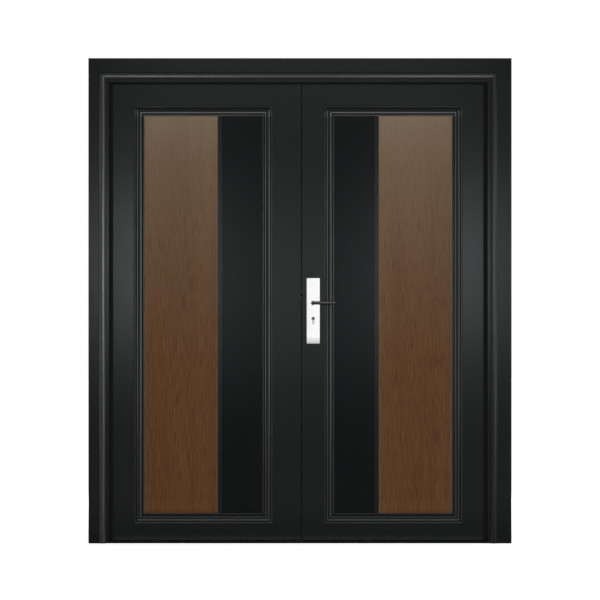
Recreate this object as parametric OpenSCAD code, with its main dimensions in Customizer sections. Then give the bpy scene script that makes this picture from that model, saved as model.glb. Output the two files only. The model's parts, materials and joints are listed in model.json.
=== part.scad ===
// Double-leaf steel security door in its folded steel frame.
// Millimetres. X runs along the door, +Y points indoors and +Z is up.
// The origin lies on the floor, on the opening's centre line, in the plane of the leaves' front faces.

/* [Overall] */
// Overall height, floor to the top of the head
overall_h = 2100; // [1900:10:2400]
// Clear width between the stops of the two jambs
opening_w = 1640; // [1500:10:2000]

/* [Frame] */
// Face width of the left jamb, stop edge to outer edge
left_face_w = 88; // [80:1:140]
// Face width of the right jamb, stop edge to outer edge
right_face_w = 103; // [80:1:140]
// Face height of the head, stop edge to top
head_face_h = 103; // [80:1:140]
// Thickness of the folded frame sheet
frame_sheet = 2; // [1.2:0.1:3]
// Width of the step beside the opening
step_w = 12.5; // [9:0.5:18]
// Depth of the step behind the flat face
step_depth = 6; // [4:1:16]
// Depth of the stop, its step face to its rear
stop_depth = 17; // [12:1:24]
// Width of the rounded bead
bead_w = 31; // [24:1:36]
// Height of the bead's crown over the flat face
bead_h = 8; // [5:0.5:12]
// Depth of the folded lips at the wall edge
wall_lip = 25; // [15:1:35]
// Height of the threshold
threshold_h = 8; // [6:0.5:16]
// Width of each bevel along the threshold
threshold_bevel = 5; // [2:0.5:10]
// Radius of the anchor holes in the jambs
anchor_r = 5.5; // [4:0.25:8]
// Distance between the two anchor holes of a pair
anchor_spacing = 400; // [200:10:500]
// Leg length of the corner cleats
cleat_leg = 120; // [60:5:200]
// Width of the corner cleats
cleat_w = 30; // [20:1:40]
// Thickness of the corner cleats
cleat_t = 3; // [2:0.5:5]

/* [Seals] */
// Visible width of the side seals
side_seal_lip = 18; // [10:0.5:24]
// Visible height of the head seal
head_seal_lip = 10; // [6:0.5:20]
// Width of the seals that is stuck to the stop
seal_seat = 8; // [5:0.5:11]
// Width of the bottom seals
bottom_seal_w = 14; // [8:1:20]
// Thickness of the meeting seals' base
meeting_seal_base = 1; // [0.6:0.1:1.6]
// Width of the lip along the rear of a meeting seal
meeting_lip_w = 1; // [0.75:0.25:1.25]

/* [Leaves] */
// Thickness of a leaf
leaf_t = 50; // [50:1:80]
// Thickness of the leaf's skins
skin_t = 1.5; // [1:0.1:2]
// Width of the tubes inside the leaf
tube_w = 36; // [30:1:36]
// Wall of the tubes
tube_wall = 3; // [2.6:0.1:4]
// How far a leaf reaches behind the stop
leaf_overlap = 12; // [9:0.5:16]
// Running gap between a leaf's edge and the frame
edge_gap = 4; // [3:0.5:6]
// Gap between a leaf's front face and the stop
seal_gap = 4; // [3:0.5:6]
// Gap between a leaf and the threshold
floor_gap = 4; // [3:0.5:8]
// Gap between the two leaves
meeting_gap = 5; // [5:0.2:8]
// Distance of that gap's middle right of the centre line
meeting_offset = 14; // [8:1:20]
// Width of the meeting strip
meeting_strip_w = 21.5; // [12:0.5:30]
// Thickness of the meeting strip
meeting_strip_t = 1.5; // [1:0.1:2]

/* [Panels] */
// Centre line to the moulding's outer edge
meeting_half_w = 110; // [100:1:140]
// Hinge edge of a leaf to the moulding's outer edge
hinge_stile_w = 119; // [100:1:160]
// Leaf top to the moulding's outer edge
top_rail_h = 113; // [90:1:160]
// Leaf bottom to the moulding's outer edge
bottom_rail_h = 72; // [60:1:160]
// Width of the moulding
moulding_w = 46; // [40:1:56]
// Height of the moulding's flat base
moulding_base_h = 3; // [2:0.5:5]
// Height of the thin flange around the moulding
moulding_flange_h = 1.2; // [0.8:0.1:1.8]
// Width of that flange
moulding_flange_w = 2; // [1:0.5:6]
// Radius of the slim outer ridge
ridge_r = 4; // [3:0.5:5]
// Radius of the main bead of the moulding
moulding_bead_r = 14; // [10:0.5:15]
// Gap between the moulding's bars at the mitres
mitre_joint = 0.3; // [0.1:0.1:0.6]
// How far the moulding reaches over the panels
panel_lip = 14; // [8:1:20]
// Visible width of the wood panel
wood_w = 318; // [200:1:360]
// Thickness of the panels
panel_t = 8; // [5:0.5:12]
// Thickness of the panels on the indoor face
rear_panel_t = 2; // [1:0.5:3]
// Width of the trim over the joint of the panels
divider_w = 18; // [10:1:26]
// Height of that trim over the panels
divider_h = 2; // [1:0.5:3]

/* [Hinges] */
// Length of a hinge barrel
hinge_len = 110; // [80:1:150]
// Radius of a hinge barrel
barrel_r = 7.6; // [6.5:0.1:9]
// Radius of a hinge pin
pin_r = 5; // [3:0.25:5.5]
// Width of a hinge plate
hinge_plate_w = 30; // [24:1:32]
// Thickness of a hinge plate
hinge_plate_t = 3; // [2:0.5:4]
// Height of the lowest hinge's middle
hinge_low_z = 250; // [150:10:400]
// Distance of the top hinge's middle below the leaf's top
hinge_top_drop = 250; // [150:10:400]

/* [Lock] */
// Height of the lever's axis
lever_z = 1041; // [900:1:1200]
// Edge of the leaf to the lever's axis
backset = 48.5; // [48:0.5:60]
// Width of a lock plate
plate_w = 56; // [40:1:64]
// Height of a lock plate
plate_h = 283; // [270:1:320]
// Lever axis to the plate's lower end
plate_below = 176; // [165:1:200]
// Thickness of a lock plate
plate_t = 4; // [2:0.5:6]
// Radius of a lock plate's corners
plate_corner_r = 1.5; // [0.5:0.5:8]
// Lever axis to the lever's tip
lever_len = 97; // [80:1:140]
// Radius of the lever's bar
lever_r = 7.5; // [6:0.5:9]
// Height of the lever's bar over the leaf
lever_reach = 44; // [38:1:60]
// Bend radius of the lever
lever_bend_r = 14; // [10:1:18]
// Width of the square spindle
spindle_w = 8; // [7:0.5:9]
// Lever axis to the cylinder's axis
cylinder_drop = 68; // [66:1:76]
// Radius of the cylinder's round part
cylinder_r = 8.5; // [8:0.1:9]
// Radius of the cylinder's plug
plug_r = 6; // [5:0.1:6.5]
// Travel of the latch bolt
latch_throw = 12; // [10:0.5:13]
// Travel of the dead bolt
dead_throw = 20; // [15:1:24]

/* [Flush bolts] */
// Radius of a flush bolt's rod
bolt_r = 5; // [4:0.25:6]
// Length of a flush bolt's rod
bolt_len = 200; // [180:5:300]
// Travel of a flush bolt
bolt_travel = 11; // [8:0.5:11]

/* [Hidden] */
$fn = 48;
mitre_angle = 45;
quarter_turn = 90;

// Clearances
overrun = 1;
running_fit = 0.05;
slide_fit = 0.3;
seal_clear = 0.4;
lip_clear = 0.055;
panel_clear = 0.5;
axial_gap = 0.4;
barrel_clear = 0.4;
plate_clear = 1.4;
pocket_clear = 2.5;

// Frame planes
stop_x = opening_w / 2;
stop_z = overall_h - head_face_h;
stop_y = -seal_gap;
step_y = stop_y - stop_depth;
face_y = step_y - step_depth;
bead_arc_r = (bead_w * bead_w / 4 + bead_h * bead_h) / (2 * bead_h);
reveal_u = leaf_overlap + edge_gap;
reveal_x = stop_x + reveal_u;
reveal_z = stop_z + reveal_u;
reach = 2 * (overall_h + opening_w);
anchor_z_shares = [0.26, 0.74];

// Leaf planes
leaf_x = stop_x + leaf_overlap;
leaf_top = stop_z + leaf_overlap;
leaf_bottom = threshold_h + floor_gap;
leaf_rear = leaf_t;
leaf_mid = leaf_t / 2;
function meet_w(s) = s * meeting_offset + meeting_gap / 2;
meeting_seal_t = meeting_gap / 2 - lip_clear;

// Moulding and panels, in a leaf's own half
mould_in = meeting_half_w;
mould_out = leaf_x - hinge_stile_w;
mould_low = leaf_bottom + bottom_rail_h;
mould_high = leaf_top - top_rail_h;
window_inset = moulding_w - panel_lip;
panel_joint = mould_out - moulding_w - wood_w;
ridge_place_share = 0.12;
bead_place_share = 0.51;
inner_lip_r = 4;

// Hinges
hinge_x = leaf_x + edge_gap / 2;
hinge_y = leaf_rear + barrel_r + barrel_clear;
hinge_off = barrel_r + plate_clear;
hinge_tab = edge_gap / 2;
hinge_zs = [hinge_low_z, (hinge_low_z + leaf_top - hinge_top_drop) / 2, leaf_top - hinge_top_drop];
knuckle_h = (hinge_len - 2 * axial_gap) / 3;
hinge_screw_share = 0.3;
pin_head_h = 3;

// Screws
screw_r = 2.4;
screw_head_r = 4.5;
screw_head_top_share = 0.75;
screw_head_h = 2;
screw_len = 14;
recess_w = 1.2;
recess_depth = 1;

// Lock
lock_w = meet_w(1);
lever_x = lock_w + backset;
plate_low = lever_z - plate_below;
plate_high = plate_low + plate_h;
plate_bolt_inset = 18;
plate_bolt_zs = [plate_low + plate_bolt_inset, plate_high - plate_bolt_inset];
boss_r = 4.5;
boss_len = 14;
boss_floor = 2;
notch_side = 2;
neck_r = 9;
collar_r = 10;
collar_h = 5;
socket_depth = 20;
spindle_in = 18;
case_t = 16;
case_wall = 1.5;
case_behind = 27;
case_below = 142;
case_low = lever_z - case_below;
case_above = 74;
case_high = lever_z + case_above;
forend_t = 3;
forend_w = 20;
forend_ext = 17;
forend_low = case_low - forend_ext;
forend_high = case_high + forend_ext;
follower_r = 11;
hub_r = 8;
bolt_thick = 12;
latch_low = lever_z + 24;
latch_h = 20;
latch_tail = 38;
latch_tip = 3;
latch_bevel = 10;
dead_h = 24;
dead_mid = lever_z - 33;
dead_tail = 40;
cylinder_z = lever_z - cylinder_drop;
cylinder_proud = 3;
lobe_r = 5;
lobe_drop = 19.5;
cam_gap_w = 10;
cam_gap_h = 10;
cam_side = 0.4;
cam_r = 8.2;
cam_reach = 14;
cam_lug_w = 7;
keyway_w = 2;
keyway_h = 8;
keyway_depth = 12;
turn_collar_r = 9;
turn_collar_h = 4;
turn_paddle_t = 5;
turn_paddle_w = 24;
turn_paddle_h = 16;

// Flush bolts
strike_t = forend_t;
bolt_w = meet_w(-1) + skin_t + tube_w / 2;
bolt_x = -bolt_w;
bolt_rest = 1;
bolt_plate_h = 120;
bolt_plate_share = 0.4;
bolt_tab_h = 18;
bolt_tab_w = 6;
bolt_tab_back = 1;
keep_w = 60;
keep_t = 2;

// Colours
paint = "#26282a";
dark_paint = "#1b1c1f";
rubber = "#101012";
wood = "#5e432b";
bright_steel = "#e8e9e6";
dark_metal = "#4a4b4e";
zinc = "#a9abad";
board = "#b9a98a";

// Basic shapes
module box(low, high) translate(low) cube(high - low);
module strip(low, high) translate(low) square(high - low);
module on_side(s) mirror([s < 0 ? 1 : 0, 0, 0]) children();
module bar_y(x, z, y_low, y_high, r) {
    translate([x, y_low, z]) rotate([-quarter_turn, 0, 0]) cylinder(h = y_high - y_low, r = r);
}
module bar_x(y, z, x_low, x_high, r) {
    translate([x_low, y, z]) rotate([0, quarter_turn, 0]) cylinder(h = x_high - x_low, r = r);
}
module along_x(x_low, x_high) {
    translate([x_low, 0, 0]) rotate([quarter_turn, 0, quarter_turn])
        linear_extrude(x_high - x_low) children();
}
module along_y(y_low, y_high) {
    translate([0, y_high, 0]) rotate([quarter_turn, 0, 0]) linear_extrude(y_high - y_low) children();
}

// A pan-head screw: its head stands on the plane z = 0 and its shank points down
module screw(len) {
    translate([0, 0, -len]) cylinder(h = len, r = screw_r);
    difference() {
        cylinder(h = screw_head_h, r1 = screw_head_r, r2 = screw_head_r * screw_head_top_share);
        for (turn = [0, quarter_turn]) rotate(turn)
            box([-screw_r, -recess_w / 2, screw_head_h - recess_depth],
                [screw_r, recess_w / 2, screw_head_h + overrun]);
    }
}

// Frame
module frame_profile(face_w) {
    strip([0, step_y], [frame_sheet, stop_y]);
    strip([0, step_y], [step_w + frame_sheet, step_y + frame_sheet]);
    strip([step_w, face_y], [step_w + frame_sheet, step_y + frame_sheet]);
    intersection() {
        translate([step_w + bead_w / 2, face_y - bead_h + bead_arc_r]) difference() {
            circle(bead_arc_r);
            circle(bead_arc_r - frame_sheet);
        }
        strip([step_w, face_y - bead_h - overrun], [step_w + bead_w, face_y + frame_sheet]);
    }
    strip([step_w + bead_w - frame_sheet, face_y], [face_w, face_y + frame_sheet]);
    strip([face_w - frame_sheet, face_y], [face_w, face_y + wall_lip]);
    strip([0, stop_y - frame_sheet], [reveal_u + frame_sheet, stop_y]);
    strip([reveal_u, stop_y - frame_sheet], [reveal_u + frame_sheet, leaf_rear]);
    strip([reveal_u, leaf_rear - frame_sheet], [face_w, leaf_rear]);
    strip([face_w - frame_sheet, leaf_rear - wall_lip], [face_w, leaf_rear]);
}

// The half of space on one side of a corner's mitre plane
module mitre_half(s, above) {
    on_side(s) translate([stop_x, 0, stop_z]) rotate([0, -mitre_angle, 0])
        translate([-reach / 2, -reach / 2, above ? 0 : -reach]) cube(reach);
}

module jamb(s, face_w) {
    color(paint) difference() {
        on_side(s) translate([stop_x, 0, 0]) linear_extrude(overall_h) frame_profile(face_w);
        mitre_half(s, true);
        on_side(s) for (share = anchor_z_shares, end = [-1, 1])
            bar_x(leaf_mid, share * overall_h + end * anchor_spacing / 2,
                reveal_x - overrun, reveal_x + frame_sheet + overrun, anchor_r);
        hinge_screw_holes(s, 1);
    }
}
module left_jamb() jamb(-1, left_face_w);
module right_jamb() jamb(1, right_face_w);

module head() {
    color(paint) difference() {
        translate([stop_x + right_face_w, 0, stop_z]) rotate([0, -quarter_turn, 0])
            linear_extrude(2 * stop_x + left_face_w + right_face_w) frame_profile(head_face_h);
        for (s = [-1, 1]) mitre_half(s, false);
        translate([bolt_x, leaf_mid, reveal_z - overrun])
            cylinder(h = frame_sheet + 2 * overrun, r = bolt_r + slide_fit);
    }
}

module threshold() {
    color(paint) difference() {
        along_x(-stop_x, stop_x) polygon([
            [step_y, 0], [step_y + threshold_bevel, threshold_h],
            [leaf_rear - threshold_bevel, threshold_h], [leaf_rear, 0]
        ]);
        translate([bolt_x, leaf_mid, -overrun])
            cylinder(h = threshold_h + 2 * overrun, r = bolt_r + slide_fit);
    }
}

module corner_cleats() {
    cleat_x = reveal_x + frame_sheet;
    cleat_z = reveal_z + frame_sheet;
    color(zinc) for (s = [-1, 1]) on_side(s) {
        box([cleat_x, leaf_mid - cleat_w / 2, cleat_z + cleat_t - cleat_leg],
            [cleat_x + cleat_t, leaf_mid + cleat_w / 2, cleat_z + cleat_t]);
        box([cleat_x + cleat_t - cleat_leg, leaf_mid - cleat_w / 2, cleat_z],
            [cleat_x + cleat_t, leaf_mid + cleat_w / 2, cleat_z + cleat_t]);
    }
}

module head_keep() {
    color(zinc) difference() {
        box([bolt_x - keep_w / 2, leaf_mid - forend_w / 2, reveal_z - keep_t],
            [bolt_x + keep_w / 2, leaf_mid + forend_w / 2, reveal_z]);
        translate([bolt_x, leaf_mid, reveal_z - keep_t - overrun])
            cylinder(h = keep_t + 2 * overrun, r = bolt_r + slide_fit);
    }
}

// Seals
seal_h = seal_gap - seal_clear;
module seal_profile(lip) {
    strip([seal_h / 2 - lip, stop_y], [seal_seat, stop_y + seal_h]);
    translate([seal_h / 2 - lip, stop_y + seal_h / 2]) circle(seal_h / 2);
}
module side_seal(s) {
    color(rubber) on_side(s) translate([stop_x, 0, threshold_h])
        linear_extrude(stop_z - head_seal_lip - threshold_h) seal_profile(side_seal_lip);
}
module left_seal() side_seal(-1);
module right_seal() side_seal(1);
module head_seal() {
    color(rubber) translate([stop_x + seal_seat, 0, stop_z]) rotate([0, -quarter_turn, 0])
        linear_extrude(2 * (stop_x + seal_seat)) seal_profile(head_seal_lip);
}

// Hinges: dir is 1 for the plate on the frame and -1 for the plate on the leaf
hinge_screw_x = hinge_off + hinge_plate_w / 2;
module at_hinge_screws(s, dir) {
    for (z = hinge_zs, end = [-1, 1]) on_side(s)
        translate([hinge_x + dir * hinge_screw_x, leaf_rear + hinge_plate_t,
            z + end * hinge_len * hinge_screw_share]) rotate([-quarter_turn, 0, 0]) children();
}
module hinge_screw_holes(s, dir) {
    at_hinge_screws(s, dir) translate([0, 0, -screw_len - overrun])
        cylinder(h = screw_len + 2 * overrun, r = screw_r + running_fit);
}
module knuckle(z) translate([hinge_x, hinge_y, z]) cylinder(h = knuckle_h, r = barrel_r);
module hinge_tab_box(dir, z) {
    tab_ends = [hinge_x + dir * hinge_tab, hinge_x + dir * (hinge_off + overrun)];
    box([min(tab_ends), leaf_rear, z], [max(tab_ends), leaf_rear + hinge_plate_t, z + knuckle_h]);
}
module hinge_leaf(s, dir, steps) {
    plate_ends = [hinge_x + dir * hinge_off, hinge_x + dir * (hinge_off + hinge_plate_w)];
    difference() {
        on_side(s) for (mid = hinge_zs) {
            low = mid - hinge_len / 2;
            box([min(plate_ends), leaf_rear, low],
                [max(plate_ends), leaf_rear + hinge_plate_t, low + hinge_len]);
            for (step = steps) {
                knuckle(low + step * (knuckle_h + axial_gap));
                hinge_tab_box(dir, low + step * (knuckle_h + axial_gap));
            }
        }
        on_side(s) translate([hinge_x, hinge_y, 0]) cylinder(h = overall_h, r = pin_r + running_fit);
        hinge_screw_holes(s, dir);
    }
}
module frame_hinges(s) color(dark_metal) hinge_leaf(s, 1, [0, 2]);
module leaf_hinges(s) color(dark_metal) hinge_leaf(s, -1, [1]);
module left_frame_hinges() frame_hinges(-1);
module right_frame_hinges() frame_hinges(1);
module left_leaf_hinges() leaf_hinges(-1);
module right_leaf_hinges() leaf_hinges(1);

module hinge_pins(s) {
    color(zinc) on_side(s) for (mid = hinge_zs)
        translate([hinge_x, hinge_y, mid - hinge_len / 2]) {
            cylinder(h = hinge_len, r = pin_r);
            translate([0, 0, hinge_len]) cylinder(h = pin_head_h, r = barrel_r);
        }
}
module left_hinge_pins() hinge_pins(-1);
module right_hinge_pins() hinge_pins(1);

module frame_hinge_screws() color(zinc) for (s = [-1, 1]) at_hinge_screws(s, 1) screw(screw_len);
module left_hinge_screws() color(zinc) at_hinge_screws(-1, -1) screw(screw_len);
module right_hinge_screws() color(zinc) at_hinge_screws(1, -1) screw(screw_len);

// Cuts that the hardware needs in a leaf. Each is drawn in the leaf's own half.
module edge_recess(s, low, high) {
    box([meet_w(s) - overrun, leaf_mid - forend_w / 2, low],
        [meet_w(s) + forend_t, leaf_mid + forend_w / 2, high]);
}
pocket_front = leaf_mid - bolt_thick / 2 - panel_clear;
pocket_rear = leaf_mid + bolt_thick / 2 + panel_clear;
module latch_pocket() {
    depth = latch_throw - meeting_gap + pocket_clear;
    box([meet_w(-1) - meeting_gap, pocket_front, latch_low - panel_clear],
        [meet_w(-1) + depth, leaf_rear + overrun, latch_low + latch_h + panel_clear]);
}
module dead_pocket() {
    depth = dead_throw - meeting_gap + pocket_clear;
    box([meet_w(-1) - overrun, pocket_front, dead_mid - dead_h / 2 - panel_clear],
        [meet_w(-1) + depth, pocket_rear, dead_mid + dead_h / 2 + panel_clear]);
}
module at_flush_bolts() {
    children();
    translate([0, 0, leaf_top + leaf_bottom]) mirror([0, 0, 1]) children();
}
bolt_plate_low = leaf_top - bolt_len - bolt_plate_h * bolt_plate_share;
bolt_slot_low = leaf_top - bolt_rest - bolt_len - slide_fit;
module bolt_plate_recess() edge_recess(-1, bolt_plate_low, bolt_plate_low + bolt_plate_h);
bolt_slot_high = bolt_slot_low + bolt_tab_h + bolt_travel + 2 * slide_fit;
module bolt_slot() {
    box([meet_w(-1) - overrun, leaf_mid - bolt_tab_w / 2 - slide_fit, bolt_slot_low],
        [bolt_w, leaf_mid + bolt_tab_w / 2 + slide_fit, bolt_slot_high]);
}
module bolt_rod_hole() {
    translate([bolt_w, leaf_mid, leaf_bottom - floor_gap])
        cylinder(h = leaf_top - leaf_bottom + 2 * floor_gap, r = bolt_r + slide_fit);
}
module left_cuts() {
    edge_recess(-1, forend_low, forend_high);
    latch_pocket();
    dead_pocket();
    at_flush_bolts() bolt_plate_recess();
    at_flush_bolts() bolt_slot();
}
module cylinder_outline(clear) {
    translate([lever_x, cylinder_z]) {
        circle(cylinder_r + clear);
        strip([-lobe_r - clear, -lobe_drop], [lobe_r + clear, 0]);
        translate([0, -lobe_drop]) circle(lobe_r + clear);
    }
}
module lock_through_holes() {
    bar_y(lever_x, lever_z, -overrun, leaf_rear + overrun, neck_r + slide_fit);
    along_y(-overrun, leaf_rear + overrun) cylinder_outline(slide_fit);
    for (z = plate_bolt_zs) bar_y(lever_x, z, -overrun, leaf_rear + overrun, boss_r + slide_fit);
}

// Leaf pieces
module panel_window(y_high) {
    box([mould_in + window_inset, -overrun, mould_low + window_inset],
        [mould_out - window_inset, y_high, mould_high - window_inset]);
}
module front_skin(s) {
    color(paint) on_side(s) difference() {
        box([meet_w(s), 0, leaf_bottom], [leaf_x, leaf_rear - skin_t, leaf_top]);
        box([meet_w(s) + skin_t, skin_t, leaf_bottom + skin_t],
            [leaf_x - skin_t, leaf_rear, leaf_top - skin_t]);
        panel_window(skin_t + overrun);
        if (s < 0) left_cuts();
        if (s < 0) bolt_rod_hole();
        if (s > 0) edge_recess(s, forend_low, forend_high);
        if (s > 0) lock_through_holes();
    }
}
module left_front_skin() front_skin(-1);
module right_front_skin() front_skin(1);

module rear_skin(s) {
    color(paint) difference() {
        on_side(s) difference() {
            box([meet_w(s), leaf_rear - skin_t, leaf_bottom], [leaf_x, leaf_rear, leaf_top]);
            if (s < 0) latch_pocket();
            if (s > 0) lock_through_holes();
        }
        hinge_screw_holes(s, -1);
    }
}
module left_rear_skin() rear_skin(-1);
module right_rear_skin() rear_skin(1);

tube_low = leaf_bottom + skin_t;
tube_high = leaf_top - skin_t;
tube_front = skin_t;
tube_rear = leaf_rear - skin_t;
module stile_tube(w_low) {
    difference() {
        box([w_low, tube_front, tube_low], [w_low + tube_w, tube_rear, tube_high]);
        box([w_low + tube_wall, tube_front + tube_wall, tube_low - overrun],
            [w_low + tube_w - tube_wall, tube_rear - tube_wall, tube_high + overrun]);
    }
}
module rail_tube(w_low, w_high, z_low) {
    difference() {
        box([w_low + mitre_joint, tube_front, z_low], [w_high - mitre_joint, tube_rear, z_low + tube_w]);
        box([w_low, tube_front + tube_wall, z_low + tube_wall],
            [w_high, tube_rear - tube_wall, z_low + tube_w - tube_wall]);
    }
}
function rail_in(s) = meet_w(s) + skin_t + tube_w;
rail_out = leaf_x - skin_t - tube_w;
module tube_frame(s) {
    color(zinc) difference() {
        on_side(s) difference() {
            union() {
                stile_tube(meet_w(s) + skin_t);
                stile_tube(rail_out);
                rail_tube(rail_in(s), rail_out, tube_low);
                rail_tube(rail_in(s), rail_out, tube_high - tube_w);
            }
            edge_recess(s, forend_low, forend_high);
            edge_screw_holes(s);
            if (s < 0) left_cuts();
            if (s > 0) box([meet_w(s), leaf_mid - case_t / 2 - slide_fit, case_low - slide_fit],
                [rail_in(s) + overrun, leaf_mid + case_t / 2 + slide_fit, case_high + slide_fit]);
        }
        hinge_screw_holes(s, -1);
    }
}
module left_tube_frame() tube_frame(-1);
module right_tube_frame() tube_frame(1);

module core(s) {
    color(board) on_side(s) difference() {
        box([rail_in(s), tube_front, tube_low + tube_w], [rail_out, tube_rear, tube_high - tube_w]);
        panel_window(panel_t);
        if (s > 0) box([rail_in(s) - overrun, -overrun, plate_low],
            [lever_x + plate_w / 2 + notch_side, leaf_rear + overrun, plate_high]);
    }
}
module left_core() core(-1);
module right_core() core(1);

// Moulding: the profile runs inwards from its outer edge, and its front points to -Y
module moulding_profile() {
    strip([0, -moulding_flange_h], [moulding_w, 0]);
    strip([moulding_flange_w, -moulding_base_h], [moulding_w, 0]);
    intersection() {
        union() {
            translate([moulding_w * ridge_place_share, -moulding_base_h / 2]) circle(ridge_r);
            translate([moulding_w * bead_place_share, 0]) circle(moulding_bead_r);
            translate([moulding_w - inner_lip_r, -moulding_base_h / 2]) circle(inner_lip_r);
        }
        strip([0, -moulding_w], [moulding_w, 0]);
    }
}
module moulding_bar(len) {
    difference() {
        linear_extrude(len) moulding_profile();
        translate([-mitre_joint, 0, 0]) rotate([0, -mitre_angle, 0])
            translate([-reach / 2, -reach / 2, -reach]) cube(reach);
        translate([-mitre_joint, 0, len]) rotate([0, mitre_angle, 0])
            translate([-reach / 2, -reach / 2, 0]) cube(reach);
    }
}
module moulding_frame() {
    tall = mould_high - mould_low;
    wide = mould_out - mould_in;
    translate([mould_in, 0, mould_low]) moulding_bar(tall);
    translate([mould_out, 0, mould_low]) mirror([1, 0, 0]) moulding_bar(tall);
    translate([mould_in, 0, mould_low]) mirror([1, 0, -1]) moulding_bar(wide);
    translate([mould_in, 0, mould_high]) mirror([0, 0, 1]) mirror([1, 0, -1]) moulding_bar(wide);
}
module moulding(s) {
    color(paint) on_side(s) {
        moulding_frame();
        translate([0, leaf_rear, 0]) mirror([0, 1, 0]) moulding_frame();
    }
}
module left_moulding() moulding(-1);
module right_moulding() moulding(1);

panel_low = mould_low + window_inset + panel_clear;
panel_high = mould_high - window_inset - panel_clear;
rear_inset = moulding_w + panel_clear;
module rear_panel(w_low, w_high) {
    box([w_low, leaf_rear, mould_low + rear_inset],
        [w_high, leaf_rear + rear_panel_t, mould_high - rear_inset]);
}
module wood_panel(s) {
    color(wood) on_side(s) {
        box([panel_joint, 0, panel_low], [mould_out - window_inset - panel_clear, panel_t, panel_high]);
        rear_panel(panel_joint, mould_out - rear_inset);
    }
}
module dark_panel(s) {
    color(dark_paint) on_side(s) {
        box([mould_in + window_inset + panel_clear, 0, panel_low],
            [panel_joint - panel_clear, panel_t, panel_high]);
        rear_panel(mould_in + rear_inset, panel_joint - panel_clear);
    }
}
module divider(s) {
    color(dark_metal) on_side(s)
        box([panel_joint - divider_w, -divider_h, mould_low + moulding_w],
            [panel_joint, 0, mould_high - moulding_w]);
}
module left_wood_panel() wood_panel(-1);
module right_wood_panel() wood_panel(1);
module left_dark_panel() dark_panel(-1);
module right_dark_panel() dark_panel(1);
module left_divider() divider(-1);
module right_divider() divider(1);

module bottom_seal(s) {
    color(rubber) on_side(s) difference() {
        box([meet_w(s), leaf_mid - bottom_seal_w / 2, threshold_h + seal_clear],
            [leaf_x, leaf_mid + bottom_seal_w / 2, leaf_bottom]);
        if (s < 0) bolt_rod_hole();
    }
}
module left_bottom_seal() bottom_seal(-1);
module right_bottom_seal() bottom_seal(1);

// Meeting edges of the leaves
module meeting_strip() {
    color(paint) on_side(-1) box([meet_w(-1), -meeting_strip_t, leaf_bottom],
        [meet_w(-1) + meeting_strip_w, 0, stop_z - head_seal_lip - overrun]);
}
module meeting_seal(s) {
    front = leaf_mid + forend_w / 2 + seal_clear;
    low = threshold_h + seal_clear;
    color(rubber) on_side(s) difference() {
        union() {
            box([meet_w(s) - meeting_seal_base, front, low], [meet_w(s), leaf_rear, leaf_top]);
            box([meet_w(s) - meeting_seal_t, leaf_rear - meeting_lip_w, low], [meet_w(s), leaf_rear, leaf_top]);
        }
        if (s < 0) latch_pocket();
    }
}
module left_meeting_seal() meeting_seal(-1);
module right_meeting_seal() meeting_seal(1);

module strike_plate() {
    color(zinc) on_side(-1) difference() {
        box([meet_w(-1), leaf_mid - forend_w / 2, forend_low],
            [meet_w(-1) + strike_t, leaf_mid + forend_w / 2, forend_high]);
        latch_pocket();
        dead_pocket();
        edge_screw_holes(-1);
    }
}
module at_edge_screws(s) {
    for (z = [forend_low + forend_ext / 2, forend_high - forend_ext / 2])
        translate([meet_w(s) + screw_head_h, leaf_mid, z]) rotate([0, -quarter_turn, 0]) children();
}
module edge_screw_holes(s) {
    at_edge_screws(s) {
        translate([0, 0, -screw_len - overrun])
            cylinder(h = screw_len + 2 * overrun, r = screw_r + running_fit);
        cylinder(h = screw_head_h + overrun, r = screw_head_r + slide_fit);
    }
}
module strike_screws() color(zinc) on_side(-1) at_edge_screws(-1) screw(screw_len);

module flush_bolt_plates() {
    color(zinc) on_side(-1) at_flush_bolts() difference() {
        box([meet_w(-1), leaf_mid - forend_w / 2, bolt_plate_low],
            [meet_w(-1) + strike_t, leaf_mid + forend_w / 2, bolt_plate_low + bolt_plate_h]);
        bolt_slot();
    }
}
module flush_bolt() {
    low = leaf_top - bolt_rest - bolt_len;
    translate([bolt_w, leaf_mid, low]) cylinder(h = bolt_len, r = bolt_r);
    box([meet_w(-1) + bolt_tab_back, leaf_mid - bolt_tab_w / 2, low],
        [bolt_w, leaf_mid + bolt_tab_w / 2, low + bolt_tab_h]);
}
module top_flush_bolt() color(zinc) on_side(-1) flush_bolt();
module bottom_flush_bolt() {
    color(zinc) on_side(-1) translate([0, 0, leaf_top + leaf_bottom]) mirror([0, 0, 1]) flush_bolt();
}

// Lock of the right leaf
case_front = leaf_mid - case_t / 2;
case_rear = leaf_mid + case_t / 2;
case_in = lock_w + forend_t;
case_out = lever_x + case_behind;
module bolt_openings() {
    latch_span = [latch_low, latch_low + latch_h];
    dead_span = [dead_mid - dead_h / 2, dead_mid + dead_h / 2];
    for (span = [latch_span, dead_span])
        box([lock_w - overrun, leaf_mid - bolt_thick / 2 - slide_fit, span[0] - slide_fit],
            [case_in + case_wall + overrun, leaf_mid + bolt_thick / 2 + slide_fit, span[1] + slide_fit]);
}
module lock_case() {
    color(zinc) difference() {
        box([case_in, case_front, case_low], [case_out, case_rear, case_high]);
        box([case_in + case_wall, case_front + case_wall, case_low + case_wall],
            [case_out - case_wall, case_rear - case_wall, case_high - case_wall]);
        bolt_openings();
        bar_y(lever_x, lever_z, case_front - overrun, case_rear + overrun, hub_r + running_fit);
        along_y(case_front - overrun, case_rear + overrun) cylinder_outline(slide_fit);
    }
}
module forend() {
    color(zinc) difference() {
        box([lock_w, leaf_mid - forend_w / 2, forend_low],
            [lock_w + forend_t, leaf_mid + forend_w / 2, forend_high]);
        bolt_openings();
        edge_screw_holes(1);
    }
}
module forend_screws() color(zinc) at_edge_screws(1) screw(screw_len);

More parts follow.
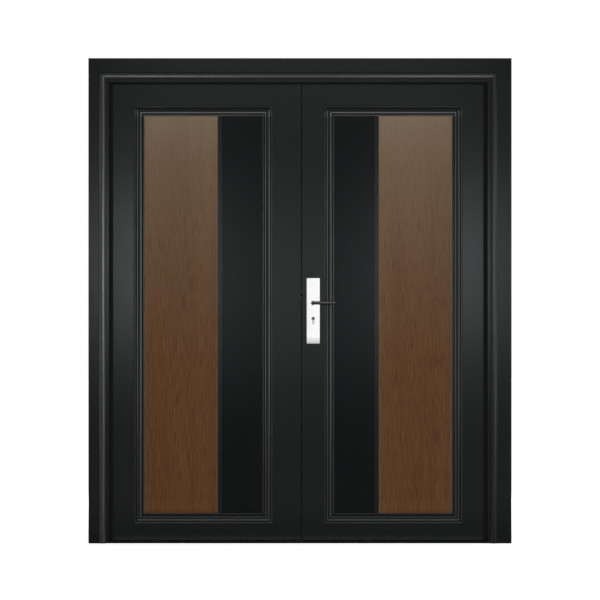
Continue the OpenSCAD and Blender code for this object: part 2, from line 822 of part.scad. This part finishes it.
module latch_bolt() {
    nose = lock_w - latch_throw;
    tail = lock_w + latch_tail;
    front = leaf_mid - bolt_thick / 2;
    rear = leaf_mid + bolt_thick / 2;
    color(dark_metal) translate([0, 0, latch_low]) linear_extrude(latch_h) polygon([
        [tail, front], [tail, rear], [nose, rear], [nose, rear - latch_tip], [nose + latch_bevel, front]
    ]);
}
module dead_bolt() {
    color(dark_metal) box([lock_w, leaf_mid - bolt_thick / 2, dead_mid - dead_h / 2],
        [lock_w + dead_tail, leaf_mid + bolt_thick / 2, dead_mid + dead_h / 2]);
}

spindle_half = spindle_w / 2;
socket_half = spindle_half + running_fit;
module spindle_hole(y_low, y_high) {
    box([lever_x - socket_half, y_low, lever_z - socket_half],
        [lever_x + socket_half, y_high, lever_z + socket_half]);
}
module follower() {
    color(zinc) difference() {
        union() {
            bar_y(lever_x, lever_z, leaf_mid - bolt_thick / 2, leaf_mid + bolt_thick / 2, follower_r);
            bar_y(lever_x, lever_z, case_front, case_rear, hub_r);
        }
        spindle_hole(case_front - overrun, case_rear + overrun);
    }
}
module spindle() {
    color(zinc) box([lever_x - spindle_half, -spindle_in, lever_z - spindle_half],
        [lever_x + spindle_half, leaf_rear + spindle_in, lever_z + spindle_half]);
}

module plate_outline() {
    low = [lever_x - plate_w / 2, plate_low];
    high = [lever_x + plate_w / 2, plate_high];
    inset = [plate_corner_r, 0];
    rise = [0, plate_corner_r];
    strip(low + inset, high - inset);
    strip(low + rise, high - rise);
    corner_xs = [low[0] + plate_corner_r, high[0] - plate_corner_r];
    corner_zs = [low[1] + plate_corner_r, high[1] - plate_corner_r];
    for (x = corner_xs, z = corner_zs) translate([x, z]) circle(plate_corner_r);
}
module lock_plate(y_low) {
    difference() {
        along_y(y_low, y_low + plate_t) plate_outline();
        bar_y(lever_x, lever_z, y_low - overrun, y_low + plate_t + overrun, neck_r + running_fit);
        along_y(y_low - overrun, y_low + plate_t + overrun) cylinder_outline(slide_fit);
    }
}
module outer_plate() {
    color(bright_steel) difference() {
        union() {
            lock_plate(-plate_t);
            for (z = plate_bolt_zs) bar_y(lever_x, z, 0, boss_len, boss_r);
        }
        for (z = plate_bolt_zs)
            bar_y(lever_x, z, boss_floor - plate_t, boss_len + overrun, screw_r + running_fit);
    }
}
module inner_plate() {
    color(bright_steel) difference() {
        lock_plate(leaf_rear);
        for (z = plate_bolt_zs)
            bar_y(lever_x, z, leaf_rear - overrun, leaf_rear + plate_t + overrun, screw_r + running_fit);
    }
}
module plate_bolts() {
    color(zinc) for (z = plate_bolt_zs) translate([lever_x, leaf_rear + plate_t, z])
        rotate([-quarter_turn, 0, 0]) screw(leaf_rear + plate_t);
}

module lever() {
    neck_end = lever_bend_r - lever_reach;
    arm_start = lever_x + lever_bend_r;
    arm_end = lever_x + lever_len - lever_r;
    difference() {
        union() {
            bar_y(lever_x, lever_z, neck_end, 0, neck_r);
            bar_y(lever_x, lever_z, -plate_t - axial_gap - collar_h, -plate_t - axial_gap, collar_r);
            translate([arm_start, neck_end, lever_z]) rotate(2 * quarter_turn)
                rotate_extrude(angle = quarter_turn) translate([lever_bend_r, 0]) circle(lever_r);
            bar_x(-lever_reach, lever_z, arm_start, arm_end, lever_r);
            translate([arm_end, -lever_reach, lever_z]) sphere(lever_r);
        }
        spindle_hole(-socket_depth, overrun);
    }
}
module outer_lever() color(dark_metal) lever();
module inner_lever() color(dark_metal) translate([0, leaf_rear, 0]) mirror([0, 1, 0]) lever();

cylinder_front = -plate_t - cylinder_proud;
cylinder_rear = leaf_rear + plate_t + cylinder_proud;
module cylinder_body() {
    color(zinc) difference() {
        along_y(cylinder_front, cylinder_rear) cylinder_outline(0);
        bar_y(lever_x, cylinder_z, cylinder_front - overrun, cylinder_rear + overrun, plug_r + running_fit);
        box([lever_x - cylinder_r - overrun, leaf_mid - cam_gap_w / 2, cylinder_z - cam_gap_h],
            [lever_x + cylinder_r + overrun, leaf_mid + cam_gap_w / 2, cylinder_z + cylinder_r + overrun]);
    }
}
module cylinder_plug() {
    cam_half = cam_gap_w / 2 - cam_side;
    turn_start = cylinder_rear + axial_gap;
    turn_mid = turn_start + turn_collar_h;
    color(dark_metal) difference() {
        union() {
            bar_y(lever_x, cylinder_z, cylinder_front, turn_mid, plug_r);
            bar_y(lever_x, cylinder_z, leaf_mid - cam_half, leaf_mid + cam_half, cam_r);
            box([lever_x - cam_lug_w / 2, leaf_mid - cam_half, cylinder_z],
                [lever_x + cam_lug_w / 2, leaf_mid + cam_half, cylinder_z + cam_reach]);
            bar_y(lever_x, cylinder_z, turn_start, turn_mid, turn_collar_r);
            box([lever_x - turn_paddle_t / 2, turn_mid, cylinder_z - turn_paddle_w / 2],
                [lever_x + turn_paddle_t / 2, turn_mid + turn_paddle_h, cylinder_z + turn_paddle_w / 2]);
        }
        box([lever_x - keyway_w / 2, cylinder_front - overrun, cylinder_z - keyway_h / 2],
            [lever_x + keyway_w / 2, cylinder_front + keyway_depth, cylinder_z + keyway_h / 2]);
    }
}

left_jamb();
right_jamb();
head();
threshold();
corner_cleats();
head_keep();
left_seal();
right_seal();
head_seal();
left_frame_hinges();
right_frame_hinges();
left_hinge_pins();
right_hinge_pins();
frame_hinge_screws();
left_front_skin();
left_rear_skin();
left_tube_frame();
left_core();
left_moulding();
left_wood_panel();
left_dark_panel();
left_divider();
left_bottom_seal();
left_leaf_hinges();
left_hinge_screws();
meeting_strip();
left_meeting_seal();
strike_plate();
strike_screws();
flush_bolt_plates();
top_flush_bolt();
bottom_flush_bolt();
right_front_skin();
right_rear_skin();
right_tube_frame();
right_core();
right_moulding();
right_wood_panel();
right_dark_panel();
right_divider();
right_bottom_seal();
right_leaf_hinges();
right_hinge_screws();
right_meeting_seal();
lock_case();
forend();
forend_screws();
latch_bolt();
dead_bolt();
follower();
spindle();
outer_plate();
inner_plate();
outer_lever();
inner_lever();
plate_bolts();
cylinder_body();
cylinder_plug();
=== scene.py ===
"""Double-leaf steel security door: materials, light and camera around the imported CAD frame.

Lengths are metres in the part's own frame: x along the door, y indoors, z up.
"""

import json
import math

import bpy
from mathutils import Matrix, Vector


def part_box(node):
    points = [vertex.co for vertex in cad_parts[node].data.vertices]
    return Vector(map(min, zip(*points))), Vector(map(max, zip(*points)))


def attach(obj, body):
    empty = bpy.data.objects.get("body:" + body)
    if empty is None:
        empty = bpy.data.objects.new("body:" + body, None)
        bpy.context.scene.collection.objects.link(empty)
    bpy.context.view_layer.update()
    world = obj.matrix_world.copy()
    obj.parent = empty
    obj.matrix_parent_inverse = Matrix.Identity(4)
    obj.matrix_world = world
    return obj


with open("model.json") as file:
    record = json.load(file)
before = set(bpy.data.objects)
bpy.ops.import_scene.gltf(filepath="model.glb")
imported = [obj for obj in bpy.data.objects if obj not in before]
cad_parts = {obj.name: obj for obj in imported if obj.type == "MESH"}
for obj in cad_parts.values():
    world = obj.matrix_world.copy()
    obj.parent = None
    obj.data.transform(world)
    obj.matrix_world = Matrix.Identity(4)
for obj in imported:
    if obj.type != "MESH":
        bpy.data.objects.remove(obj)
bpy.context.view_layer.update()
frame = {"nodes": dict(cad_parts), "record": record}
nodes = frame["nodes"]
scene = bpy.context.scene
scene.view_settings.view_transform = "Standard"

# The powder coat of the frame and the leaves, and the painted highlights on its beads
COAT = {"low": (0.0003, 0.0003, 0.0004), "high": (0.0007, 0.0007, 0.0008), "rough": 0.255, "specular": 0.085}
COAT_TINT = (0.93, 0.99, 1.0)
COAT_ROUGH_SPREAD = 0.02
PEEL_STRENGTH, PEEL_DEPTH = 0.06, 0.0003
HIGHLIGHT_POLISH = 0.04
MATTE_GAIN = 0.25
# Stops of distance and amount: the frame's bead crown carries a painted highlight, a pale, smoother metallic
# reflectance, measured from the plane FRAME_MID; it is stronger on the left jamb and the head than on the right jamb
FRAME_MID = 0.06
CROWN = ((0.088, 0.0), (0.094, 1.0))
LEFT_PAINTED_HIGHLIGHT = (0.026, 0.0263, 0.0267)
RIGHT_PAINTED_HIGHLIGHT = (0.012, 0.0122, 0.0125)
# The mouldings' slopes carry a painted highlight and their crowns are matte, measured from the middle of a leaf
LEAF_MID = 0.025
SLOPES = ((0.029, 0.0), (0.031, 1.0), (0.0374, 1.0), (0.0386, 0.0))
MATTE = ((0.028, 1.0), (0.0305, 0.0), (0.0376, 0.0), (0.0387, 1.0))
MOULDING_PAINTED_HIGHLIGHT = (0.025, 0.0253, 0.0256)
# The lower slope of a top bar carries a stronger painted highlight, in a band below the moulding's top
BAR_LOW, BAR_HIGH, BAR_FADE = 0.05, 0.022, 0.004
BAR_PAINTED_HIGHLIGHT = (0.052, 0.0525, 0.053)

# Metals
METAL_DEPTH = 0.0002
CAST_LINES = (300.0, 300.0, 300.0)
CAST_ROUGH = 0.34
ZINC_LINES = (60.0, 60.0, 400.0)
ZINC_BUMP = 0.03
PLATE_LINES = (40.0, 40.0, 1500.0)
# Painted shade of a lock plate: darker towards its lower edge, by the height above it
FOOT_PAINTED_SHADE = ((0.0, 0.58), (0.008, 0.71), (0.016, 0.78), (0.03, 1.0))

# Walnut: tones by the grain, a painted sheen that makes them paler and greyer towards the top, and painted glints at
# the panels' upright edges
DEEP = ((0.3, (0.0465, 0.0174, 0.0038)), (0.5, (0.0632, 0.0253, 0.006)), (0.72, (0.08, 0.0343, 0.0092)))
SHEEN_TONES = ((0.3, (0.118, 0.083, 0.053)), (0.5, (0.139, 0.101, 0.0675)), (0.72, (0.16, 0.121, 0.084)))
TOP_SHEEN_SCALE = 0.5
TOP_SHEEN = ((0.38, 0.0), (0.6, 0.2), (0.82, 0.57), (0.94, 1.0))
PORE = (0.62, 0.52, 0.42)
GOLD = (0.125, 0.061, 0.02)
EDGE_GLINT = (0.12, 0.108, 0.092)
EDGE_GLINT_AMOUNT = 0.3
INNER_GLINT = (0.349, 0.358)
OUTER_GLINT = (0.656, 0.668)

# Soft blades on the meeting seals: places from the seals' own edges
BLADE_FRONT, BLADE_REAR = 0.0008, 0.0002
BLADE_BITE = 0.0005
BLADE_HEEL = 0.0002
SLIT_GAP = 0.000005
SEAL_GAP = 0.00001
FOOT_GAP = 0.00005
LATCH_ROOM = 0.004

# Stage
FLOOR_HALF = 30.0
FLOOR_GREY = (0.86, 0.86, 0.86)
GLOW_NEAR, GLOW_FAR = 1.0, 4.0
GLOW_LOW, GLOW_HIGH = 0.7, 1.0
AMBIENT = 0.06
# Name, place, target, width and height, watts
LAMPS = (
    ("left_front", (-0.8, -3.5, 1.25), (-0.8, 0.0, 1.25), (0.4, 0.7), 24.0),
    ("right_front", (0.8, -3.5, 1.25), (0.8, 0.0, 1.25), (0.4, 0.7), 22.0),
    ("left_middle", (-0.3, -3.5, 1.1), (-0.3, 0.0, 1.1), (0.3, 0.8), 5.0),
    ("right_middle", (0.36, -3.5, 1.1), (0.36, 0.0, 1.1), (0.3, 0.8), 5.0),
    ("top_front", (0.0, -3.5, 2.35), (0.0, 0.0, 2.05), (2.0, 0.3), 10.0),
    ("right_near", (3.7, -5.5, 1.15), (0.0, 0.0, 1.1), (1.8, 2.0), 118.0),
    ("right_side", (4.8, -1.3, 1.2), (0.0, 0.0, 1.1), (3.0, 1.6), 85.0),
    ("left_side", (-4.6, -1.6, 1.2), (0.0, 0.0, 1.1), (1.6, 1.6), 50.0),
    ("floor_strip", (0.0, -1.5, 0.03), (0.0, -1.5, 2.0), (2.2, 0.3), 12.0),
    ("toe_strip", (0.0, -0.058, 0.012), (0.0, -0.058, 2.0), (1.6, 0.035), 1.1),
    ("left_back", (-1.2, 3.6, 1.6), (-0.5, 0.0, 1.1), (0.9, 0.9), 40.0),
    ("right_back", (1.2, 3.6, 1.6), (0.5, 0.0, 1.1), (0.9, 0.9), 40.0),
)
CAMERA_PLACE = (0.0076, -14.451, 1.0535)
LENS_MM, SENSOR_MM = 200.0, 36.0
VIEW_END = 100.0


# Node helpers
def connect(tree, node, inputs):
    """Link each input that is given a socket, and set the others."""
    for key, value in inputs.items():
        socket = node.inputs[key]
        if isinstance(value, bpy.types.NodeSocket):
            tree.links.new(value, socket)
        elif socket.type == "RGBA":
            socket.default_value = (*value, 1.0)
        else:
            socket.default_value = value


def add_node(tree, kind, inputs=None, **settings):
    node = tree.nodes.new(kind)
    for key, value in settings.items():
        setattr(node, key, value)
    connect(tree, node, inputs or {})
    return node


def add_object(name, data):
    obj = bpy.data.objects.new(name, data)
    scene.collection.objects.link(obj)
    return obj


class Graph:
    """A material's node tree with short calls for the nodes used here."""

    def __init__(self, name):
        self.material = bpy.data.materials.new(name)
        self.material.use_nodes = True
        self.tree = self.material.node_tree
        self.shader = self.tree.nodes["Principled BSDF"]
        self.place = self.add("ShaderNodeTexCoord").outputs["Object"]

    def add(self, kind, inputs=None, **settings):
        return add_node(self.tree, kind, inputs, **settings)

    def noise(self, scale, detail, offset=(0.0, 0.0, 0.0), roughness=0.5, distortion=0.0):
        """Noise with a scale of its own along each axis."""
        place = self.add("ShaderNodeMapping", {"Vector": self.place, "Scale": scale, "Location": offset})
        return self.add("ShaderNodeTexNoise", {
            "Vector": place.outputs["Vector"], "Scale": 1.0, "Detail": detail, "Roughness": roughness,
            "Distortion": distortion}).outputs["Fac"]

    def ramp(self, value, *stops):
        node = self.add("ShaderNodeValToRGB", {"Fac": value})
        ends = node.color_ramp.elements
        while len(ends) < len(stops):
            ends.new(0.5)
        for end, (place, colour) in zip(ends, stops):
            end.position = place
            end.color = (*colour, 1.0) if isinstance(colour, tuple) else (colour, colour, colour, 1.0)
        return node.outputs["Color"]

    def steps(self, distance, stops):
        """A ramp over a distance in metres, up to 0.1."""
        return self.ramp(self.math("MULTIPLY", distance, 10.0), *[(10.0 * place, level) for place, level in stops])

    def axis(self, name):
        return self.add("ShaderNodeSeparateXYZ", {"Vector": self.place}).outputs[name]

    def span(self, value, low, high, start=0.0, end=1.0):
        """The value from start to end, stretched to low to high and held beyond them."""
        return self.add("ShaderNodeMapRange", {
            "Value": value, "From Min": start, "From Max": end, "To Min": low, "To Max": high}).outputs["Result"]

    def mix(self, kind, factor, first, second):
        node = self.add("ShaderNodeMix", data_type="RGBA", blend_type=kind)
        connect(self.tree, node, {0: factor, 6: first, 7: second})
        return node.outputs[2]

    def math(self, kind, first, second=0.0):
        return self.add("ShaderNodeMath", {0: first, 1: second}, operation=kind).outputs[0]

    def bump(self, height, strength, depth):
        return self.add("ShaderNodeBump", {"Height": height, "Strength": strength, "Distance": depth}).outputs["Normal"]

    def done(self, **inputs):
        """The material, with the shader's inputs linked or set; an underscore stands for a space."""
        connect(self.tree, self.shader, {key.replace("_", " "): value for key, value in inputs.items()})
        return self.material


# Materials
def paint(name, low, high, rough, specular, highlight_at=None, dull=None, band=None):
    """Satin powder coat: faint orange peel and a cloudy tone, with beads that can carry a painted highlight or be
    dulled.

    highlight_at is (mid, colour, stops): the painted highlight, a pale, metallic and smoother reflectance, by the
    distance from the plane y = mid.
    dull is the stops of the same distance at which the coat turns matte.
    band is (low, high, colour): another colour of the painted highlight between two heights.
    """
    g = Graph(name)
    tone = g.ramp(g.noise((3.0, 3.0, 2.0), detail=4.0), (0.3, low), (0.7, high))
    peel = g.noise((900.0, 900.0, 900.0), detail=1.0)
    smudge = g.noise((11.0, 11.0, 7.0), detail=5.0)
    sheen = g.span(smudge, rough - COAT_ROUGH_SPREAD, rough + COAT_ROUGH_SPREAD)
    painted_highlight = 0.0
    if highlight_at:
        mid, highlight_colour, stops = highlight_at
        if band:
            bottom, top, band_highlight_colour = band
            over = g.span(g.axis("Z"), 0.0, 1.0, bottom, bottom + BAR_FADE)
            under = g.span(g.axis("Z"), 1.0, 0.0, top - BAR_FADE, top)
            highlight_colour = g.mix("MIX", g.math("MULTIPLY", over, under), highlight_colour, band_highlight_colour)
        # Painted highlight: a pale colour, made metallic and smoother, on the proud parts of the beads
        proud = g.math("ABSOLUTE", g.math("SUBTRACT", g.axis("Y"), mid))
        streak = g.noise((60.0, 60.0, 5.0), detail=4.0)
        painted_highlight = g.math("MULTIPLY", g.steps(proud, stops), g.span(streak, 0.8, 1.0))
        tone = g.mix("MIX", painted_highlight, tone, highlight_colour)
        sheen = g.math("SUBTRACT", sheen, g.math("MULTIPLY", painted_highlight, HIGHLIGHT_POLISH))
        if dull:
            sheen = g.math("ADD", sheen, g.math("MULTIPLY", g.steps(proud, dull), MATTE_GAIN))
    return g.done(Base_Color=tone, Roughness=sheen, Metallic=painted_highlight, Specular_IOR_Level=specular,
                  Specular_Tint=COAT_TINT, Normal=g.bump(peel, PEEL_STRENGTH, PEEL_DEPTH))


def metal(name, low, high, rough, scale, bump=0.05, vary=0.06, foot=None):
    """Bare or plated metal with fine drawn lines; foot is the height of a lower edge, towards which a painted shade
    darkens the tone.
    """
    g = Graph(name)
    lines = g.noise(scale, detail=3.0)
    tone = g.ramp(g.noise((14.0, 14.0, 14.0), detail=3.0), (0.3, low), (0.7, high))
    if foot is not None:
        # Painted shade: darker towards the lower edge
        painted_shade = g.steps(g.math("SUBTRACT", g.axis("Z"), foot), FOOT_PAINTED_SHADE)
        tone = g.mix("MULTIPLY", 1.0, tone, painted_shade)
    return g.done(Base_Color=tone, Roughness=g.span(lines, rough - vary, rough + vary), Metallic=1.0,
                  Normal=g.bump(lines, bump, METAL_DEPTH))


def lever_painted_highlight_metal(name, bottom, top):
    """Dark cast metal with a painted highlight: dark below and paler along the top, as lit from above."""
    g = Graph(name)
    lines = g.noise(CAST_LINES, detail=3.0)
    height = g.span(g.axis("Z"), 0.0, 1.0, bottom, top)
    # Painted highlight: paler towards the top of the lever
    tone = g.ramp(height, (0.4, (0.012, 0.012, 0.012)), (0.75, (0.082, 0.079, 0.073)))
    return g.done(Base_Color=tone, Roughness=g.span(lines, 0.24, 0.36), Metallic=1.0,
                  Normal=g.bump(lines, 0.05, METAL_DEPTH))


def walnut(name):
    """Walnut foil: broad upright bands, fine grain, short dark pores and gold flecks, with a painted sheen that turns
    it paler and greyer towards the top, and painted glints at the upright edges.
    """
    g = Graph(name)
    band = g.noise((9.0, 9.0, 0.5), detail=4.0, distortion=0.4)
    grain = g.noise((150.0, 150.0, 5.0), detail=5.0, roughness=0.65, distortion=0.3)
    pores = g.noise((250.0, 250.0, 12.0), detail=3.0, offset=(3.0, 1.0, 5.0), roughness=0.6)
    flecks = g.noise((280.0, 280.0, 10.0), detail=3.0, offset=(7.0, 2.0, 1.0), roughness=0.6)
    figure = g.mix("MIX", 0.45, band, grain)
    # Painted sheen: paler, greyer tones towards the top
    top_sheen = g.ramp(g.math("MULTIPLY", g.axis("Z"), TOP_SHEEN_SCALE), *TOP_SHEEN)
    base = g.mix("MIX", top_sheen, g.ramp(figure, *DEEP), g.ramp(figure, *SHEEN_TONES))
    side = g.math("ABSOLUTE", g.axis("X"))
    # Painted glints: paler rims along the panels' upright edges
    inner_glint = g.span(side, EDGE_GLINT_AMOUNT, 0.0, *INNER_GLINT)
    outer_glint = g.span(side, 0.0, EDGE_GLINT_AMOUNT, *OUTER_GLINT)
    glinted = g.mix("MIX", g.math("MAXIMUM", inner_glint, outer_glint), base, EDGE_GLINT)
    # Gold flecks and dark pores are fainter under the painted sheen
    gold = g.math("MULTIPLY", g.ramp(flecks, (0.53, 0.0), (0.64, 1.0)), g.span(top_sheen, 0.36, 0.03))
    flecked = g.mix("MIX", gold, glinted, GOLD)
    dash = g.ramp(pores, (0.52, 1.0), (0.63, PORE))
    tone = g.mix("MULTIPLY", g.span(top_sheen, 0.95, 0.08), flecked, dash)
    relief = g.mix("MULTIPLY", 0.7, grain, dash)
    return g.done(Base_Color=tone, Roughness=g.span(grain, 0.42, 0.58), Specular_IOR_Level=0.08,
                  Normal=g.bump(relief, 0.25, 0.0004))


def rubber(name, low, high, specular):
    """Matte rubber with a little dust and a fine grain."""
    g = Graph(name)
    speck = g.noise((700.0, 700.0, 700.0), detail=2.0)
    dust = g.noise((30.0, 30.0, 4.0), detail=4.0)
    return g.done(Base_Color=g.ramp(dust, (0.35, low), (0.75, high)), Roughness=g.span(dust, 0.55, 0.7),
                  Specular_IOR_Level=specular, Normal=g.bump(speck, 0.2, 0.0002))


def board(name):
    """Pale core board of pressed flakes."""
    g = Graph(name)
    flake = g.noise((90.0, 90.0, 60.0), detail=5.0, roughness=0.7)
    tone = g.ramp(flake, (0.3, (0.30, 0.24, 0.16)), (0.7, (0.55, 0.48, 0.36)))
    return g.done(Base_Color=tone, Roughness=g.span(flake, 0.75, 0.95), Normal=g.bump(flake, 0.4, 0.0006))


looks = {
    "black_paint": paint("black_paint_look", **COAT),
    "dark_panel": paint("dark_panel_look", low=(0.0002, 0.0002, 0.0003), high=(0.0004, 0.0004, 0.0006),
                        rough=0.255, specular=0.047),
    "trim": paint("trim_look", low=(0.0014, 0.0017, 0.0021), high=(0.0022, 0.0026, 0.0032),
                  rough=0.27, specular=0.07),
    "wood": walnut("walnut_look"),
    "rubber": rubber("rubber_look", low=0.001, high=0.0025, specular=0.05),
    "bright_steel": metal("bright_steel_look", low=(0.87, 0.88, 0.86), high=(0.92, 0.925, 0.91), rough=0.055,
                          scale=PLATE_LINES, bump=0.02, vary=0.015, foot=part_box("outer_plate")[0][2]),
    "dark_metal": metal("dark_metal_look", low=(0.022, 0.022, 0.0222), high=(0.033, 0.033, 0.0335),
                        rough=CAST_ROUGH, scale=CAST_LINES),
    "zinc_steel": metal("zinc_steel_look", low=(0.19, 0.193, 0.197), high=(0.25, 0.25, 0.253), rough=0.42,
                        scale=ZINC_LINES, bump=ZINC_BUMP),
    "core_board": board("core_board_look"),
}

# Looks of single nodes, in place of their slot's look
# The left jamb and the head carry a stronger painted highlight on the bead crown than the right jamb
left_highlight_paint = paint("left_jamb_head_highlight_look", **COAT, highlight_at=(FRAME_MID, LEFT_PAINTED_HIGHLIGHT, CROWN))
right_highlight_paint = paint("right_jamb_highlight_look", **COAT, highlight_at=(FRAME_MID, RIGHT_PAINTED_HIGHLIGHT, CROWN))
# Painted highlight on the mouldings' slopes, stronger in a band on the lower slope of the top bars
bar_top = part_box("left_moulding")[1][2]
moulding_paint = paint("moulding_look", **COAT, highlight_at=(LEAF_MID, MOULDING_PAINTED_HIGHLIGHT, SLOPES), dull=MATTE,
                       band=(bar_top - BAR_LOW, bar_top - BAR_HIGH, BAR_PAINTED_HIGHLIGHT))
lever_low, lever_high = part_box("outer_lever")
lever_highlight_look = lever_painted_highlight_metal("lever_highlight_look", lever_low[2], lever_high[2])
meeting_rubber = rubber("meeting_rubber_look", low=0.075, high=0.095, specular=0.2)
cylinder_look = metal("cylinder_look", low=(0.38, 0.385, 0.39), high=(0.47, 0.47, 0.475), rough=0.1,
                      scale=ZINC_LINES, bump=ZINC_BUMP, vary=0.03)
# Painted shade: the bolts are near-black so that the gap between the leaves stays dark where they show
bolt_shade_look = metal("bolt_shade_look", low=(0.004, 0.004, 0.004), high=(0.007, 0.007, 0.007), rough=CAST_ROUGH,
                  scale=CAST_LINES)
own_look = {
    "left_jamb": left_highlight_paint, "head": left_highlight_paint, "right_jamb": right_highlight_paint,
    "left_moulding": moulding_paint, "right_moulding": moulding_paint,
    "outer_lever": lever_highlight_look, "inner_lever": lever_highlight_look,
    "latch_bolt": bolt_shade_look, "dead_bolt": bolt_shade_look, "cylinder_body": cylinder_look,
    "left_meeting_seal": meeting_rubber, "right_meeting_seal": meeting_rubber,
}
for part in frame["record"]["subparts"]:
    mesh = nodes[part["node"]].data
    mesh.materials.clear()
    mesh.materials.append(own_look.get(part["node"], looks[part["material_slot"]]))


# Soft edges of the meeting seals, carried by each leaf
def blades(name, body, boxes):
    """One rubber piece made of upright boxes, each given by its lowest and highest corner."""
    verts, faces = [], []
    for low, high in boxes:
        start = len(verts)
        verts += [(x, y, z) for x in (low[0], high[0]) for y in (low[1], high[1]) for z in (low[2], high[2])]
        faces += [tuple(start + i for i in side) for side in
                  ((0, 1, 3, 2), (4, 6, 7, 5), (0, 4, 5, 1), (2, 3, 7, 6), (0, 2, 6, 4), (1, 5, 7, 3))]
    mesh = bpy.data.meshes.new(name)
    mesh.from_pydata(verts, [], faces)
    mesh.materials.append(meeting_rubber)
    piece = add_object(name, mesh)
    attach(piece, body)


def meeting_blades():
    """Blades that close the slit between the seals and the room under them, clear of the latch."""
    left_low, left_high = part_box("left_meeting_seal")
    right_low, right_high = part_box("right_meeting_seal")
    latch_low, latch_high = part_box("latch_bolt")
    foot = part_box("threshold")[1][2] + FOOT_GAP
    front, rear = left_high[1] - BLADE_FRONT, left_high[1] - BLADE_REAR
    edge, slit = left_high[0] - BLADE_BITE, right_low[0] - SLIT_GAP
    blades("left_meeting_blade", "left_leaf", [
        ((edge, front, foot), (slit, rear, latch_low[2] - LATCH_ROOM)),
        ((edge, front, latch_high[2] + LATCH_ROOM), (slit, rear, left_high[2])),
        ((left_low[0] + BLADE_BITE, front, foot), (edge, rear, left_low[2] + BLADE_HEEL)),
    ])
    blades("right_meeting_blade", "right_leaf", [
        ((right_low[0] + SEAL_GAP, front, foot), (right_high[0] - BLADE_BITE, rear, right_low[2] + BLADE_HEEL)),
    ])


meeting_blades()


# Stage: a plain pale floor and a white surround
def seen_ray(tree):
    """1 for camera, glossy and transmission rays, otherwise 0."""
    path = add_node(tree, "ShaderNodeLightPath").outputs
    seen = path["Is Camera Ray"]
    for name in ("Is Glossy Ray", "Is Transmission Ray"):
        seen = add_node(tree, "ShaderNodeMath", {0: seen, 1: path[name]}, operation="MAXIMUM").outputs[0]
    return seen


def stage_floor():
    """A matte floor with a glow for seen rays, which is weaker near the door so that the shadow shows."""
    mesh = bpy.data.meshes.new("floor")
    corners = ((-1, -1), (1, -1), (1, 1), (-1, 1))
    mesh.from_pydata([(FLOOR_HALF * x, FLOOR_HALF * y, 0) for x, y in corners], [], [(0, 1, 2, 3)])
    floor = add_object("floor", mesh)
    material = bpy.data.materials.new("floor_look")
    material.use_nodes = True
    tree = material.node_tree
    tree.nodes.clear()
    place = add_node(tree, "ShaderNodeTexCoord").outputs["Object"]
    reach = add_node(tree, "ShaderNodeVectorMath", {0: place}, operation="LENGTH").outputs["Value"]
    level = add_node(tree, "ShaderNodeMapRange", {
        "Value": reach, "From Min": GLOW_NEAR, "From Max": GLOW_FAR, "To Min": GLOW_LOW, "To Max": GLOW_HIGH})
    lift = add_node(tree, "ShaderNodeMath", {0: seen_ray(tree), 1: level.outputs["Result"]}, operation="MULTIPLY")
    glow = add_node(tree, "ShaderNodeEmission", {"Strength": lift.outputs[0]})
    matte = add_node(tree, "ShaderNodeBsdfDiffuse", {"Color": FLOOR_GREY})
    both = add_node(tree, "ShaderNodeAddShader", {0: matte.outputs[0], 1: glow.outputs[0]})
    add_node(tree, "ShaderNodeOutputMaterial", {"Surface": both.outputs[0]})
    mesh.materials.append(material)


def white_world():
    """White for seen rays, and a weak light for all others."""
    world = bpy.data.worlds.new("studio")
    scene.world = world
    world.use_nodes = True
    tree = world.node_tree
    level = add_node(tree, "ShaderNodeMapRange", {"Value": seen_ray(tree), "To Min": AMBIENT, "To Max": 1.0})
    connect(tree, tree.nodes["Background"], {"Color": (1.0, 1.0, 1.0), "Strength": level.outputs["Result"]})


def softbox(name, place, target, size, watts):
    lamp = bpy.data.lights.new(name, "AREA")
    lamp.shape = "RECTANGLE"
    lamp.size, lamp.size_y = size
    lamp.energy = watts
    obj = add_object(name, lamp)
    obj.location = place
    obj.rotation_euler = (Vector(target) - Vector(place)).to_track_quat("-Z", "Y").to_euler()
    obj.visible_camera = False


stage_floor()
white_world()
for lamp_values in LAMPS:
    softbox(*lamp_values)

camera_data = bpy.data.cameras.new("camera")
camera_data.lens = LENS_MM
camera_data.sensor_width = SENSOR_MM
camera_data.clip_end = VIEW_END
camera = add_object("camera", camera_data)
camera.location = CAMERA_PLACE
camera.rotation_euler = (math.radians(90.0), 0.0, 0.0)
scene.camera = camera
